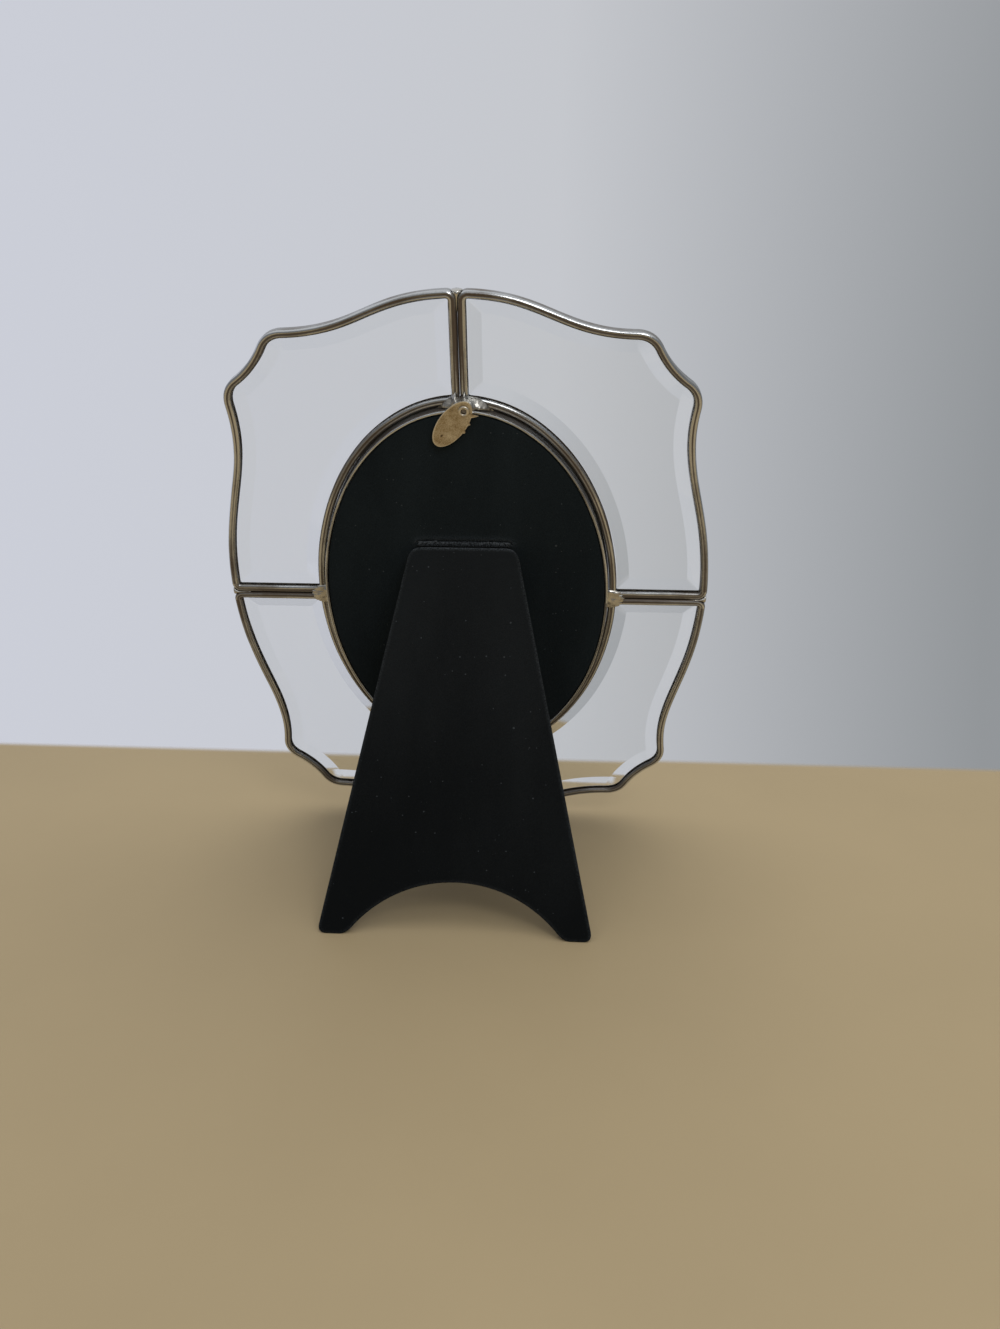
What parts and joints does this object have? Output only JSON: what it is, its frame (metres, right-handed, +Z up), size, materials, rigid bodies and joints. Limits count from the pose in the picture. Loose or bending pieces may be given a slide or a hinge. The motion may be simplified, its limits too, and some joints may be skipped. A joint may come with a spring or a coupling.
{
  "type": "standing oval picture frame",
  "caption": "Table picture frame: bevelled clear glass panels in metal came round an oval ring, with a velvet back, turn clip and folding easel leg.",
  "frame": {"origin": "on the table, under the middle of the standing object's box", "axes": "+Z up, +X to the right as seen from behind, +Y out of the picture's front; the leg stands on the -Y side"},
  "size_m": [0.2022, 0.1104, 0.243],
  "materials": {
    "panel_glass": "polished, clear",
    "came_metal": "bright, slightly warm silver",
    "solder": "smooth, bright",
    "brass": "dull, tarnished",
    "velvet": "black flocked nap",
    "board": "raw fibreboard",
    "card": "plain matt card"
  },
  "bodies": {
    "frame": {"upper_left_glass": "panel_glass", "upper_right_glass": "panel_glass", "lower_left_glass": "panel_glass", "lower_right_glass": "panel_glass", "upper_left_came": "came_metal", "upper_right_came": "came_metal", "lower_left_came": "came_metal", "lower_right_came": "came_metal", "oval_ring": "came_metal", "oval_glass": "panel_glass", "photo_card": "card", "backing_board": "board", "backing_velvet": "velvet", "bottom_keeper": "brass", "hinge_tongue": "velvet", "clip_rivet": "brass", "solder_top_outer": "solder", "solder_bottom_outer": "solder", "solder_left_outer": "solder", "solder_right_outer": "solder", "solder_top_inner": "solder", "solder_bottom_inner": "solder", "solder_left_inner": "solder", "solder_right_inner": "solder"},
    "leg": {"leg_board": "board", "leg_velvet": "velvet", "leg_lining": "velvet"},
    "clip": {"turn_clip": "brass"}
  },
  "joints": [
    {"name": "leg_fold", "type": "hinge", "parent": "frame", "child": "leg", "pos_m": [0, 0.00686, 0.1445], "axis": [1, 0, 0], "range_deg": [0, 37]},
    {"name": "clip_turn", "type": "hinge", "parent": "frame", "child": "clip", "pos_m": [0.0018, -0.00936, 0.2004], "axis": [0, -0.9641, -0.2656], "continuous": true}
  ]
}
